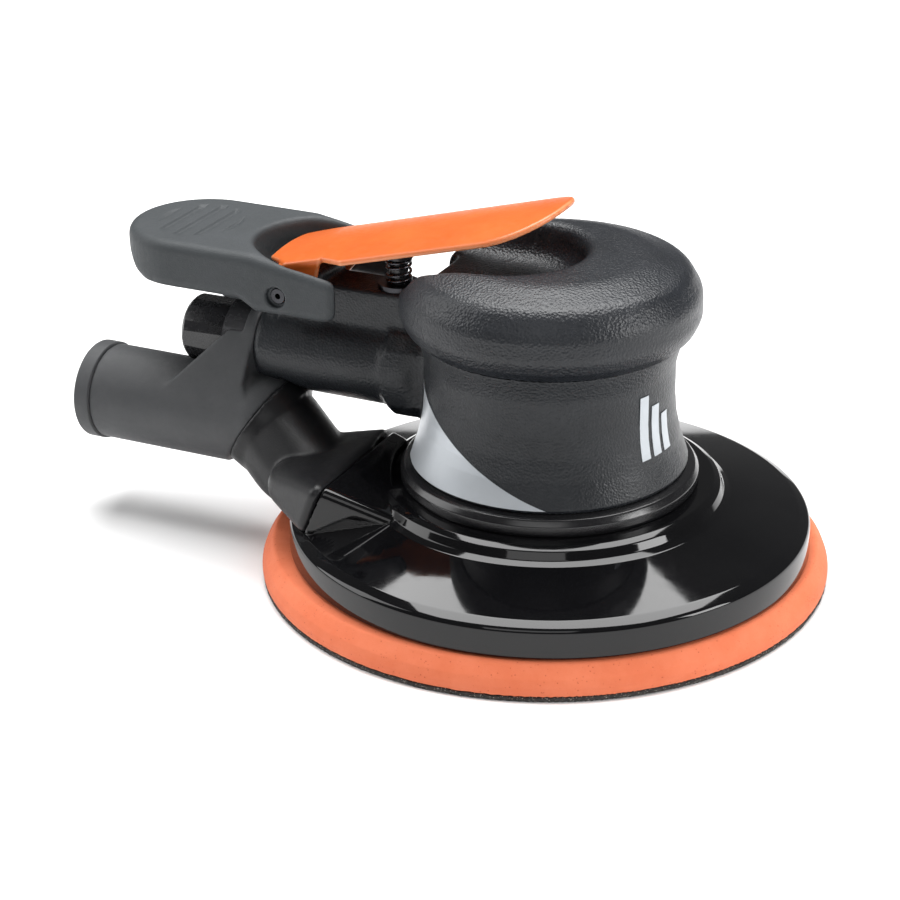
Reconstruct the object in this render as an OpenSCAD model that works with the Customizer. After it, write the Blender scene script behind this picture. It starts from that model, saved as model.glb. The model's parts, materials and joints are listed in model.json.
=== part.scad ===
// Air-powered random orbital sander with a dust shroud and a hose outlet.
// Millimetres, +Z up. The origin is where the motor axis meets the working face
// of the pad. The handle runs along -X.

/* [Pad] */
// Diameter of the sanding pad
pad_d = 152; // [150:1:154]
// Height of the top of the foam above the working face
pad_top = 9.1; // [8:0.1:9.2]
// Number of dust holes
dust_holes = 6; // [5:1:8]
// Diameter of the circle that the dust holes lie on
dust_pcd = 80; // [70:1:90]
// Diameter of one dust hole
dust_hole_d = 10; // [8:1:12]

/* [Shroud] */
// Radius of the shroud's rim
rim_r = 69.5; // [68.5:0.1:70]
// Thickness of the shroud's wall
shroud_wall = 2.2; // [1.8:0.1:2.6]

/* [Body] */
// Radius of the waist of the body
waist_r = 32.7; // [32:0.1:33.5]
// Radius of the widest part of the palm cap
cap_r = 39.3; // [39:0.1:39.6]
// Height of the top of the palm cap
cap_top = 89.7; // [89.3:0.1:90]

/* [Handle] */
// Height of the handle's centre line
handle_z = 52; // [51.5:0.1:52.5]
// Radius of the handle
handle_r = 12; // [11.5:0.1:12.2]
// How far the handle's inlet reaches from the motor axis
inlet_x = 107; // [105:1:109]
// Radius of the pipe thread in the inlet
inlet_thread_r = 5.9; // [5.5:0.1:6]

/* [Lever] */
// Width of the throttle lever
lever_w = 37; // [36:0.2:37.2]
// Height of the lever's top face above the motor axis
lever_z0 = 101.7; // [101.5:0.1:102]

/* [Vacuum] */
// Outer radius of the hose tube
tube_r = 13.3; // [13:0.1:13.4]
// Inner radius of the hose tube
tube_bore_r = 11.2; // [11:0.1:11.3]
// How far the hose tube reaches from the motor axis
tube_x = 135; // [134:0.1:136]

/* [Hidden] */
$fn = 96;

// The pad orbits about the motor axis: this is its centre at rest
pad_at = [-2, 1.5, 0];
hook_t = 1.4;
hub_top = pad_top + 2;
stud_r = 3.95;

// Shroud
rim_z0 = 9.6;
rim_z1 = 16.2;
cone_r = 47.4;
cone_z = 23.7;
collar_r = 44;
collar_z = 27.5;
flange_z = 25.2;
neck_r = 31;

// Motor, from the bottom up
cup_z0 = 15.6;
cup_z1 = 31.5;
shaft_r = 6;
tail_r = 3;
front_z = 33.2;
cyl_z0 = 43.5;
cyl_z1 = 62.5;
plate_r = 27;
cyl_bore_r = 22.5;
cyl_offset = 2;
rotor_r = 20.2;
rear_z = 66;
dome_z = 73.6;
run = 0.04;

// Lever: pin, slope and press travel
pin_at = [-70, 0, 73];
pin_r = 2;
lever_tan = 0.268;
lever_t = 1.6;
lever_crown = 2.4;
lever_tip_x = 4.2;
lever_end_x = -77;

// Valve
valve_x = -43.6;
button_z = 87.8;
spring_z0 = 74.8;
spring_z1 = 81.8;
boss_top = 73.5;

// Speed regulator
reg_x = -36;
reg_z = 56.5;

// Vacuum line: tube centre, and the angle that it hangs at beside the inlet
tube_y = -9;
tube_z = 32.1;
bend_x = -81;
arm = sqrt(pow(tube_y, 2) + pow(handle_z - tube_z, 2));
arm_tilt = atan2(-tube_y, handle_z - tube_z);
ring_r = 11.2;
ring_x0 = -86.6;
ring_x1 = -83;
web_x = -110;
// Mouth of the elbow: centre of the tube's outlet and its slope
outlet_at = [bend_x - 0.6, tube_y, tube_z + 0.4];
outlet_tilt = 33;
leg_from = outlet_at + 4 * [cos(outlet_tilt), 0, -sin(outlet_tilt)];
leg_to = [-60.8, -17.8, 20];
mouth_at = [-48, 0, 25];
mouth_tilt = 21;
mouth_y0 = -44.5;
mouth_y1 = -0.5;
mouth_h = 15;
mouth_wall = 1.8;

// Wrist rest
rest_tip_x = -123.6;
rest_w = 40.6;
rest_z0 = 70.6;
rest_z1 = 83.6;
ear_z0 = 67.6;
slot_w = 35;

function arc(c, r, a0, a1, n) =
  [for (i = [0:n]) c + r * [cos(a0 + (a1 - a0) * i / n), sin(a0 + (a1 - a0) * i / n)]];

module xcyl(r, x0, x1) {
  translate([x0, 0, 0]) rotate([0, 90, 0]) cylinder(r = r, h = x1 - x0);
}
module ycyl(r, y0, y1) {
  translate([0, y0, 0]) rotate([-90, 0, 0]) cylinder(r = r, h = y1 - y0);
}
module ring(ro, ri, z0, z1) {
  translate([0, 0, z0]) difference() {
    cylinder(r = ro, h = z1 - z0);
    translate([0, 0, -1]) cylinder(r = ri, h = z1 - z0 + 2);
  }
}
module o_ring(r, t) {
  rotate_extrude() translate([r, 0]) circle(r = t, $fn = 32);
}
module bearing(ro, ri, z0, h, balls) {
  mid = (ro + ri) / 2;
  race = (ro - ri) * 0.28;
  ring(ro, ro - race, z0, z0 + h);
  ring(ri + race, ri, z0, z0 + h);
  for (i = [0:balls - 1])
    rotate([0, 0, i * 360 / balls]) translate([mid, 0, z0 + h / 2])
      sphere(r = (ro - ri) / 2 - race - 0.03);
}
module dust_pattern(z0, z1) {
  for (i = [0:dust_holes - 1])
    rotate([0, 0, i * 360 / dust_holes]) translate([dust_pcd / 2, 0, z0])
      cylinder(d = dust_hole_d, h = z1 - z0);
}

// ---- pad -------------------------------------------------------------
module hook_face() {
  color("#2b2b2b") translate(pad_at) difference() {
    cylinder(r = pad_d / 2 - 0.2, h = hook_t);
    dust_pattern(-1, hook_t + 1);
  }
}
module pad_foam() {
  r = pad_d / 2;
  color("#f47d4b") translate(pad_at) difference() {
    rotate_extrude($fn = 180) polygon([[0, hook_t], [r - 0.3, hook_t], [r, hook_t + 0.4],
      [r, 3.4], [r - 0.5, 5], [r - 1.6, 7], [r - 3.4, pad_top], [0, pad_top]]);
    dust_pattern(-1, pad_top + 1);
    translate([0, 0, 6]) cylinder(r = 11, h = pad_top);
  }
}
module pad_hub() {
  color("#202020") translate(pad_at) difference() {
    union() {
      translate([0, 0, pad_top]) cylinder(r = 62, h = hub_top - pad_top);
      translate([0, 0, 6]) cylinder(r = 11, h = 3.5);
    }
    dust_pattern(pad_top - 1, hub_top + 1);
    cylinder(r = stud_r, h = hub_top + 2);
    translate([0, 0, 5]) cylinder(r = 8, h = 3);
  }
}
module pad_stud() {
  color("#b9bcc0") translate(pad_at) {
    translate([0, 0, 6]) cylinder(r = 8, h = 2);
    translate([0, 0, 8]) cylinder(r = stud_r, h = 13);
  }
}
module pad_spindle() {
  color("#a8abb0") translate(pad_at) difference() {
    union() {
      translate([0, 0, hub_top]) cylinder(r = 9, h = 4);
      translate([0, 0, hub_top + 4]) cylinder(r = shaft_r, h = 15.2);
    }
    translate([0, 0, hub_top - 1]) cylinder(r = stud_r, h = 12);
    for (s = [-1, 1]) translate([s * 12.2 - 4, -10, hub_top - 1]) cube([8, 20, 5]);
  }
}
module spindle_nut() {
  color("#8d9095") translate(pad_at) ring(6.9, shaft_r, 15.25, 16);
}

// ---- eccentric shaft -----------------------------------------------------
module spindle_bearings() {
  color("#c9ccd1") translate(pad_at) {
    bearing(12, shaft_r + run, 17.6, 6, 9);
    bearing(12, shaft_r + run, 24.6, 6, 9);
    ring(12, 10.8, 23.6, 24.6);
  }
}
module bearing_clip() {
  color("#55585c") translate(pad_at) difference() {
    ring(12.6, 10.4, 16.5, 17.5);
    translate([0, -1.5, 16]) cube([20, 3, 3]);
  }
}
module dust_shield() {
  color("#3a3a3a") translate(pad_at) ring(12, 7.3, cup_z0, 16.4);
}
module sector(r, a0, a1) {
  polygon(concat([[0, 0]], arc([0, 0], r, a0, a1, 24)));
}
module shaft_balancer() {
  heavy = atan2(-pad_at[1], -pad_at[0]);
  color("#9da0a5") difference() {
    union() {
      translate([0, 0, cup_z0]) cylinder(r = 18.2, h = cup_z1 - cup_z0);
      translate([0, 0, cup_z0]) linear_extrude(6) sector(29, heavy - 62, heavy + 62);
      translate([0, 0, 24.5]) linear_extrude(6) sector(25.6, heavy - 55, heavy + 55);
      translate([0, 0, cup_z1]) cylinder(r = 8, h = front_z - cup_z1);
      translate([0, 0, front_z]) cylinder(r = shaft_r, h = cyl_z1 - 0.15 - front_z);
      translate([0, 0, cyl_z1 - 1]) cylinder(r = tail_r, h = rear_z + 8 - cyl_z1);
    }
    translate(pad_at + [0, 0, cup_z0 - 1]) cylinder(r = 12, h = 16);
    translate(pad_at + [0, 0, 16.5]) cylinder(r = 12.6, h = 1);
    translate([-1.5, -shaft_r - 1, cyl_z0 + 2]) cube([3, 2.6, 15]);
    translate([0, 0, rear_z + 6.3]) difference() {
      cylinder(r = 4, h = 0.5);
      translate([0, 0, -1]) cylinder(r = 2.4, h = 3);
    }
  }
}
module rotor_slots(r, t) {
  for (i = [0:4]) rotate([0, 0, i * 72 + 18])
    translate([12, -t / 2, cyl_z0 - 1]) cube([r, t, 21]);
}
module rotor() {
  color("#8f9398") difference() {
    ring(rotor_r, shaft_r, cyl_z0 + 0.15, cyl_z1 - 0.15);
    rotor_slots(12, 1.8);
    translate([-1.5, -shaft_r - 1.6, cyl_z0 - 1]) cube([3, 3, 21]);
  }
}
module rotor_vanes() {
  color("#6b4f32") for (i = [0:4]) rotate([0, 0, i * 72 + 18])
    translate([12.2, -0.8, cyl_z0 + 0.3]) cube([rotor_r - 12.5, 1.6, cyl_z1 - cyl_z0 - 0.6]);
}
module rotor_key() {
  color("#777a7f") translate([-1.4, -shaft_r - 0.9, cyl_z0 + 2.1]) cube([2.8, 2.3, 14.8]);
}
module shaft_clip() {
  color("#55585c") difference() {
    ring(3.9, 2.4, rear_z + 6.35, rear_z + 6.75);
    translate([0, -1, rear_z + 6]) cube([6, 2, 2]);
  }
}

// ---- motor ---------------------------------------------------------------
module front_bearing() {
  color("#c9ccd1") bearing(14, shaft_r + run, front_z + 0.2, 8, 8);
}
module front_end_plate() {
  color("#b4b7bb") difference() {
    union() {
      ring(plate_r, 8.5, cyl_z0 - 2, cyl_z0);
      ring(17, 8.5, front_z, cyl_z0);
    }
    translate([0, 0, front_z - 1]) cylinder(r = 14, h = 9.2);
    translate([10.2, -21.5, cyl_z0 - 3]) cylinder(r = 1.5, h = 6);
  }
}
module motor_retainer() {
  color("#9a9da2") difference() {
    ring(plate_r, 17.3, 36, cyl_z0 - 2);
    for (a = [0:90:270]) rotate([0, 0, a]) translate([22, 0, 35]) cylinder(r = 1.6, h = 3);
  }
}
module motor_cylinder() {
  color("#c2c5c9") difference() {
    translate([0, 0, cyl_z0]) cylinder(r = plate_r, h = cyl_z1 - cyl_z0);
    translate([0, cyl_offset, cyl_z0 - 1]) cylinder(r = cyl_bore_r, h = 21);
    translate([10.2, -21.5, cyl_z0 - 1]) cylinder(r = 1.5, h = 21);
    translate([0, 0, reg_z]) xcyl(2.5, -30, -18);
    for (z = [47, 50.5, 54]) translate([0, 0, z]) rotate([0, 0, -62]) xcyl(1.4, -30, -18);
  }
}
module cylinder_dowel() {
  color("#777a7f") translate([10.2, -21.5, cyl_z0 - 1.9]) cylinder(r = 1.5, h = 23);
}
module rear_end_plate() {
  color("#b4b7bb") difference() {
    union() {
      ring(plate_r, tail_r + 1.2, cyl_z1, rear_z);
      ring(13, tail_r + 1.2, rear_z, 72.6);
    }
    translate([0, 0, rear_z + 0.1]) cylinder(r = 9.5, h = 9);
    translate([10.2, -21.5, cyl_z1 - 1]) cylinder(r = 1.5, h = 3.1);
  }
}
module rear_bearing() {
  color("#c9ccd1") bearing(9.5, tail_r + run, rear_z + 0.1, 6, 7);
}
module wave_washer() {
  color("#777a7f") ring(9.3, 6.6, rear_z + 6.1, rear_z + 6.6);
}
module motor_o_ring() {
  color("#1c1c1c") translate([0, 0, 64.2]) o_ring(plate_r + 0.45, 0.45);
}

// ---- housing, cap and trim ----------------------------------------------
function body_side() = concat(
  [[neck_r, 24], [neck_r, 32.6], [36.1, 32.6], [36.6, 33.4]],
  [[35.6, 36.6], [34.5, 40], [33.6, 43.5], [33.0, 47], [waist_r, 51], [waist_r, 61],
    [33.4, 64], [34.6, 68]]);

module handle_root() {
  // the sleeve narrows where it runs into the body
  rotate([90, 0, 90]) translate([0, 0, -42]) linear_extrude(14)
    polygon([[-7, 40.1], [7, 40.1], [10.5, 44], [10.5, 59], [7.5, 62.5],
      [-7.5, 62.5], [-10.5, 59], [-10.5, 44]]);
}
module housing() {
  color("#33373b") difference() {
    union() {
      rotate_extrude($fn = 144) polygon(concat([[0, 24]], body_side(),
        [[31.5, 68], [31.5, 70], [29, 74], [23, 76.9], [0, 76.9]]));
      translate([0, 0, handle_z]) xcyl(handle_r, ring_x1 + 0.05, -37);
      handle_root();
      translate([reg_x, 6, reg_z]) ycyl(5.9, 0, 7.2);
      // block round the valve, and the post that carries the lever pin
      translate([-77, -6.5, 58]) cube([41, 13, boss_top - 58]);
      translate([-77, -7, 58]) cube([14, 14, 18.6]);
    }
    translate([0, 0, 23]) cylinder(r = plate_r + 0.03, h = rear_z - 23);
    translate([0, 0, 64.2]) o_ring(plate_r + 0.45, 0.46);
    translate([0, 0, rear_z - 1]) cylinder(r = 13.03, h = dome_z - rear_z + 1);
    // air: inlet bore, valve well, way to the motor, exhaust bore
    translate([0, 0, handle_z]) xcyl(7, -90, -71);
    translate([0, 0, handle_z]) xcyl(4.5, -90, valve_x);
    translate([valve_x, 0, 47]) cylinder(r = 4.8, h = 30);
    translate([valve_x, 0, 60]) cylinder(r = 5.2, h = 20);
    translate([0, 0, reg_z]) xcyl(2.5, valve_x, -25);
    translate([0, 4.4, 43.9]) xcyl(1.6, -90, -25);
    // room below the sleeve for the dust elbow's collar and the bend of the hose tube
    outlet() translate([0, 0, -2]) cylinder(r = 14.6, h = 8.2);
    leg(13.6, 0, 12);
    at_tube() xcyl(tube_r + 0.3, -90, bend_x);
    bend_ball(tube_r + 0.45);
    // speed regulator
    translate([reg_x, 0, reg_z]) ycyl(1.45, -3, 6);
    translate([reg_x, 0, reg_z]) ycyl(4.05, 5.4, 20);
    translate([reg_x, 11, reg_z]) rotate([-90, 0, 0]) o_ring(4.3, 0.62);
    // lever pin
    translate(pin_at) ycyl(pin_r, -20, 20);
    // groove of the shroud's clip
    ring(neck_r + 2, neck_r - 1, 24.15, 25.15);
  }
}
module cap_side() {
  polygon(concat([[0, 77], [23.05, 77], [29.1, 74.05], [31.55, 70], [31.55, 68.1], [35.5, 68.1]],
    arc([cap_r - 10.5, 75.8], 10.5, -47, 72, 14),
    [[27, cap_top - 1], [20, cap_top], [0, cap_top]]));
}
module grip_cap() {
  color("#3a3d41") difference() {
    rotate_extrude($fn = 144) cap_side();
    // channel that the lever sinks into
    translate([-12, 0, 80]) cylinder(r = 20, h = 20);
    translate([-60, -20, 80]) cube([48, 40, 20]);
    // clearance round the valve and the handle
    translate([-60, -14, 60]) cube([28.2, 28, 30]);
  }
}
module on_waist(a0, a1, z0, z1, t) {
  intersection() {
    rotate_extrude($fn = 144) polygon([[36.7, 33.6], [35.7, 36.6], [34.6, 40], [33.7, 43.5],
      [33.1, 47], [waist_r + 0.1, 51], [waist_r + 0.1, 61], [waist_r + 0.1 + t, 61],
      [waist_r + 0.1 + t, 51], [33.1 + t, 47], [33.7 + t, 43.5], [34.6 + t, 40],
      [35.7 + t, 36.6], [36.7 + t, 33.6]]);
    translate([0, 0, z0]) linear_extrude(z1 - z0) sector(60, a0, a1);
  }
}
module side_decal() {
  color("#aab0b5") difference() {
    on_waist(206, 295, 33.6, 57, 0.12);
    // curved upper edge, from high on the left to the base on the right
    translate([88, -60, 239.5]) rotate([-90, 0, 0]) cylinder(r = 218.9, h = 60, $fn = 360);
  }
}
module badge_decal() {
  // three plain bars of falling height
  color("#c6cace") for (i = [0:2])
    on_waist(337 + 8 * i, 342.5 + 8 * i, 42, 59 - 3.5 * i, 0.12);
}
module lock_ring() {
  color("#1d1f21") rotate_extrude($fn = 144) polygon([[neck_r, collar_z], [39.1, collar_z],
    [39.5, 28.2], [39.5, 30.4], [38.9, 31.6], [37.6, 32.4], [35.5, 32.6], [neck_r, 32.6]]);
}
module shroud_clip() {
  color("#55585c") difference() {
    ring(neck_r + 1.6, neck_r - 1, 24.15, 25.15);
    translate([0, -4, 24]) cube([40, 8, 2]);
  }
}

// ---- dust shroud -----------------------------------------------------------
function shroud_top() = [[rim_r, rim_z0], [rim_r, rim_z1], [rim_r - 0.4, 17.3],
  [rim_r - 1.4, 18.1], [rim_r - 3.2, 18.6], [cone_r, cone_z], [46.4, 24.5],
  [45.4, 26.4], [44.6, 27.2], [collar_r - 1, collar_z]];
module duct_side(x0, x1, h) {
  // a slanted bar in the XZ plane, wide in Y
  translate([0, 60, 0]) rotate([90, 0, 0]) linear_extrude(120)
    translate([mouth_at[0], mouth_at[2]]) rotate(-mouth_tilt)
      translate([x0, -h / 2]) square([x1 - x0, h]);
}
module duct_plan(inset) {
  // the near wall turns in towards the body
  linear_extrude(60) polygon([[-60, mouth_y1 - inset], [-18, mouth_y1 - inset],
    [-18, -35.5 + inset], [-27.4, -38.3 + inset], [-50, mouth_y0 + inset],
    [-60, mouth_y0 - 1 + inset]]);
}
module vacuum_shroud() {
  t = shroud_wall;
  color("#0d0d0e") difference() {
    union() {
      rotate_extrude($fn = 180) polygon(concat([[neck_r + 0.02, flange_z], [neck_r + 0.02, rim_z0]],
        shroud_top(), [[neck_r + 0.02, collar_z]]));
      difference() {
        intersection() {
          duct_side(0, 27, mouth_h);
          duct_plan(0);
        }
        cylinder(r = 39.8, h = 60);
        translate([0, 0, -1]) cylinder(r = 100, h = 14);
      }
    }
    // hollow under the cone
    rotate_extrude($fn = 180) polygon([[0, 0], [rim_r - t, 0], [rim_r - t, rim_z1 - 0.3],
      [rim_r - 3.6, 16.3], [cone_r - 0.7, cone_z - t], [collar_r - 1.6, flange_z], [0, flange_z]]);
    // hollow of the duct, open at its mouth
    difference() {
      intersection() {
        duct_side(-3, 19, mouth_h - 2 * mouth_wall);
        duct_plan(mouth_wall);
      }
      cylinder(r = collar_r - 1.2, h = 60);
    }
  }
}

// ---- dust elbow --------------------------------------------------------------
module leg(r, h0, h1) {
  d = leg_to - leg_from;
  translate(leg_from) rotate([0, acos(d[2] / norm(d)), atan2(d[1], d[0])])
    translate([0, 0, h0]) cylinder(r = r, h = h1 - h0);
}
module at_mouth() {
  translate([mouth_at[0], 0, mouth_at[2]]) rotate([0, mouth_tilt, 0]) children();
}
module fishtail(inset, past) {
  // widens from the round leg to the flat mouth
  r = 3;
  hull() {
    at_mouth() for (y = [mouth_y0 + inset + r, mouth_y1 - inset - r], s = [-1, 1])
      translate([-2, y, s * (mouth_h / 2 - inset - r)]) rotate([0, 90, 0])
        cylinder(r = r, h = 2 + past, $fn = 32);
    translate([-59.5, -8.5, 24.6]) sphere(r = 6.4 - inset, $fn = 32);
    translate([-61.5, -29, 24.2]) sphere(r = 7 - inset, $fn = 32);
  }
}
module mouth_side() {
  // everything past the plane of the duct's mouth
  translate([mouth_at[0], -80, mouth_at[2]]) rotate([0, mouth_tilt, 0])
    translate([0, 0, -40]) cube([90, 120, 80]);
}
module shroud_keepout(gap) {
  rotate_extrude($fn = 180) polygon([[0, 0], [rim_r + gap, 0], [rim_r + gap, 17.5 + gap],
    [rim_r - 3.2, 18.8 + gap], [cone_r, cone_z + 0.2 + gap], [cone_r, 40], [0, 40]]);
}
module outlet() {
  translate(outlet_at) rotate([0, 90 + outlet_tilt, 0]) children();
}
module vacuum_elbow() {
  color("#222426") difference() {
    union() {
      outlet() cylinder(r = 14.3, h = 5.8);
      leg(13.3, 0, norm(leg_to - leg_from));
      fishtail(0, 0);
    }
    outlet() translate([-40, -40, -80]) cube([80, 80, 80]);
    outlet() translate([0, 0, -1]) cylinder(r = 12, h = 5.4);
    outlet() translate([0, 0, 4.3]) cylinder(r = 11.2, h = 1.7);
    leg(11.2, 1, 16);
    fishtail(1.9, 0.5);
    mouth_side();
    shroud_keepout(0.15);
    translate([-110, -60, 0]) cube([80, 80, 17.8]);
  }
}
module elbow_seal() {
  color("#1c1c1c") outlet() translate([0, 0, 2.5]) rotate_extrude()
    polygon([[11.15, 0], [12, 0], [12, 1.6], [11.15, 1.6]]);
}

// ---- vacuum manifold --------------------------------------------------------
module at_tube() {
  translate([0, tube_y, tube_z]) children();
}
module manifold_web() {
  // straight flanks that just bite into the tube and the ring, cut to a slanted outline
  bite = 0.2;
  lean = acos((tube_r - ring_r) / arm);
  a = (tube_r - bite) * [sin(lean), cos(lean)];
  b = (ring_r - bite) * [sin(lean), cos(lean)] + [0, arm];
  intersection() {
    rotate([90, 0, 90]) translate([0, 0, -130]) linear_extrude(60)
      polygon([[-a[0], 0], [-a[0], a[1]], [-b[0], b[1]], b, a, [a[0], 0]]);
    translate([0, 20, 0]) rotate([90, 0, 0]) linear_extrude(40)
      polygon([[web_x, -6], [bend_x + 1, -6], [bend_x + 1, 0],
        [ring_x1 - 0.4, arm - handle_r - 0.6], [ring_x1 - 0.4, 2 * arm], [-88.4, 2 * arm],
        [-88.4, arm + 4], [web_x, 1]]);
  }
}
module bend_ball(r) {
  // its poles lie along the outlet
  translate([bend_x, tube_y, tube_z]) rotate([0, 90 + outlet_tilt, 0]) sphere(r = r);
}
module vacuum_manifold() {
  color("#4b4d4f") difference() {
    union() {
      difference() {
        union() {
          at_tube() xcyl(tube_r, -tube_x + 4.9, bend_x);
          bend_ball(tube_r + 0.15);
          translate([0, 0, handle_z]) xcyl(ring_r, ring_x0, ring_x1);
          at_tube() rotate([-arm_tilt, 0, 0]) manifold_web();
        }
        outlet() translate([-40, -40, 0]) cube([80, 80, 60]);
      }
      outlet() translate([0, 0, -1]) cylinder(r = 11.95, h = 3.4);
      outlet() translate([0, 0, 1]) cylinder(r = 11.1, h = 3.2);
    }
    at_tube() xcyl(tube_bore_r, -tube_x, bend_x - 10);
    at_tube() xcyl(9.9, -tube_x, bend_x);
    bend_ball(10.1);
    outlet() cylinder(r = 9.9, h = 12);
    translate([0, 0, handle_z]) xcyl(9.55, -inlet_x - 0.5, -80);
    translate([0, 0, handle_z]) xcyl(10.65, -93.3, ring_x0);
    // passage from the exhaust ring down into the tube
    at_tube() rotate([-arm_tilt, 0, 0]) translate([-86, 0, 8]) cylinder(r = 2.6, h = 8);
  }
}
module hose_collar() {
  color("#4b4d4f") at_tube() {
    rotate([0, 90, 0]) translate([0, 0, -tube_x]) rotate_extrude()
      polygon([[tube_bore_r, 0], [13.5, 0], [13.8, 0.3], [13.8, 4.6], [13.5, 4.9],
        [tube_bore_r, 4.9]]);
  }
}
module venturi_nozzle() {
  color("#b58a3c") at_tube() rotate([-arm_tilt, 0, 0]) translate([-86, 0, 6.5])
    ring(2.55, 1.4, 0, 4.5);
}

// ---- air inlet -----------------------------------------------------------------
module inlet_bushing() {
  color("#191a1b") translate([0, 0, handle_z]) difference() {
    union() {
      xcyl(9.5, -94, ring_x1);
      xcyl(10.6, -93.2, ring_x0);
      intersection() {
        rotate([0, 90, 0]) rotate([0, 0, 22.5]) translate([0, 0, -inlet_x])
          cylinder(r = 9.9, h = inlet_x - 93, $fn = 8);
        rotate([0, 90, 0]) translate([0, 0, -inlet_x]) rotate_extrude()
          polygon([[0, 0], [8.6, 0], [9.4, 1], [9.5, 14.4], [0, 14.4]]);
      }
      xcyl(6.95, -85, -72);
    }
    xcyl(inlet_thread_r, -inlet_x - 1, -inlet_x + 14);
    xcyl(4.6, -inlet_x, -70);
    translate([-80, 0, 0]) rotate([0, 90, 0]) o_ring(6.5, 0.5);
  }
}
module inlet_screen() {
  color("#b0b3b7") translate([-inlet_x + 14.1, 0, handle_z]) rotate([0, 90, 0]) difference() {
    cylinder(r = 4.55, h = 0.8);
    for (x = [-3:1.5:3], y = [-3:1.5:3]) if (x * x + y * y < 13)
      translate([x, y, -1]) cylinder(r = 0.45, h = 3, $fn = 16);
  }
}
module inlet_o_ring() {
  color("#1c1c1c") translate([-80, 0, handle_z]) rotate([0, 90, 0]) o_ring(6.5, 0.46);
}

// ---- wrist rest and lever ---------------------------------------------------
module rest_outline() {
  r = rest_w / 2;
  polygon(concat([[-52, -r], [-52, r]], arc([rest_tip_x + r, 0], r, 90, 270, 24)));
}
module rest_side() {
  // hollowed underside at the tip, ears that are lower than the rest
  rotate([90, 0, 0]) translate([0, 0, -30]) linear_extrude(60)
    polygon([[rest_tip_x - 1, rest_z1], [rest_tip_x - 1, 78.5], [rest_tip_x + 2, 76],
      [rest_tip_x + 7, 72], [rest_tip_x + 11, rest_z0], [-81, rest_z0], [-78, ear_z0],
      [-52, ear_z0], [-52, 79.4], [-78, rest_z1]]);
}
module wrist_rest() {
  color("#464a4e") difference() {
    union() {
      intersection() {
        translate([0, 0, 60]) linear_extrude(30) rest_outline();
        rest_side();
      }
      translate([-96, -5.5, handle_z + handle_r + 0.05]) cube([18.9, 11, 9]);
    }
    // slot for the lever, rounded at its closed end
    translate([-67, -slot_w / 2, 60]) cube([20, slot_w, 40]);
    translate([-67, 0, 60]) cylinder(r = slot_w / 2, h = 40);
    // pin holes
    translate(pin_at) ycyl(pin_r, -30, 30);
    for (s = [-1, 1]) translate(pin_at + [0, s * 22, 0]) ycyl(2.8, -3.2, 3.2);
  }
}
module lever_pin() {
  color("#2a2b2d") translate(pin_at) difference() {
    ycyl(pin_r - 0.02, -18.8, 18.8);
    ycyl(0.8, -20, 20);
  }
}
module lever_frame() {
  // origin on the lever's top face above the motor axis, +X towards the tip
  translate([0, 0, lever_z0]) rotate([0, -atan(lever_tan), 0]) children();
}
module lever_outline() {
  tip = lever_tip_x / cos(atan(lever_tan));
  tail = lever_end_x / cos(atan(lever_tan));
  r = lever_w / 2;
  c = 17.4;
  polygon(concat([[tail, -10], [tail + 7, -15.2], [-61, -15.4], [-54, -r]],
    arc([tip - c, c - r], c, -90, 0, 8), arc([tip - c, r - c], c, 0, 90, 8),
    [[-54, r], [-61, 15.4], [tail + 7, 15.2], [tail, 10]]));
}
module throttle_lever() {
  crown_r = (pow(lever_w / 2, 2) + pow(lever_crown, 2)) / (2 * lever_crown);
  color("#f57d2b") difference() {
    union() {
      lever_frame() intersection() {
        translate([0, 0, -8]) linear_extrude(10) lever_outline();
        translate([0, 0, -crown_r]) difference() {
          xcyl(crown_r, -90, 10);
          xcyl(crown_r - lever_t, -91, 11);
        }
      }
      for (s = [-1, 1]) translate([pin_at[0], s * 14.6 + lever_t / 2, 0]) rotate([90, 0, 0])
        linear_extrude(lever_t)
          polygon([[-4.5, 70.5], [-2, 68.8], [3, 68.8], [9, 75.5], [11, 83.5], [-4.6, 79.3]]);
    }
    translate(pin_at) ycyl(pin_r + run, -30, 30);
  }
}

// ---- throttle valve -------------------------------------------------------------
module valve_seat() {
  color("#b58a3c") translate([valve_x, 0, 0]) ring(4.8, 2.9, 53.2, 54);
}
module valve_bushing() {
  color("#b58a3c") translate([valve_x, 0, 0]) {
    ring(5.2, 2.55, 60, boss_top);
    ring(5.6, 2.55, boss_top, spring_z0);
  }
}
module valve_plunger() {
  color("#17181a") translate([valve_x, 0, 0]) difference() {
    union() {
      translate([0, 0, 54.6]) cylinder(r = 1.4, h = 6);
      translate([0, 0, 58]) cylinder(r = 2.5, h = spring_z1 - 58);
      translate([0, 0, spring_z1]) cylinder(r = 3.9, h = 1.4);
      translate([0, 0, spring_z1 + 1.4]) cylinder(r = 3.2, h = button_z - spring_z1 - 2.9);
      translate([0, 0, button_z - 1.5]) cylinder(r1 = 3.2, r2 = 2.4, h = 1);
    }
    translate([0, 0, 65]) o_ring(2.1, 0.43);
  }
}
module plunger_clip() {
  color("#55585c") translate([valve_x, 0, 0]) ring(3.8, 2.5, 58.7, 59.4);
}
module plunger_o_ring() {
  color("#1c1c1c") translate([valve_x, 0, 65]) o_ring(2.1, 0.4);
}
module tip_valve() {
  color("#b58a3c") translate([valve_x, 0, 0]) {
    translate([0, 0, 51.3]) cylinder(r = 4, h = 1.8);
    translate([0, 0, 53.1]) cylinder(r = 1.4, h = 1.5);
  }
}
module valve_spring() {
  color("#222326") translate([valve_x, 0, 0]) ring(3.6, 2.7, spring_z0, spring_z1);
}
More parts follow.
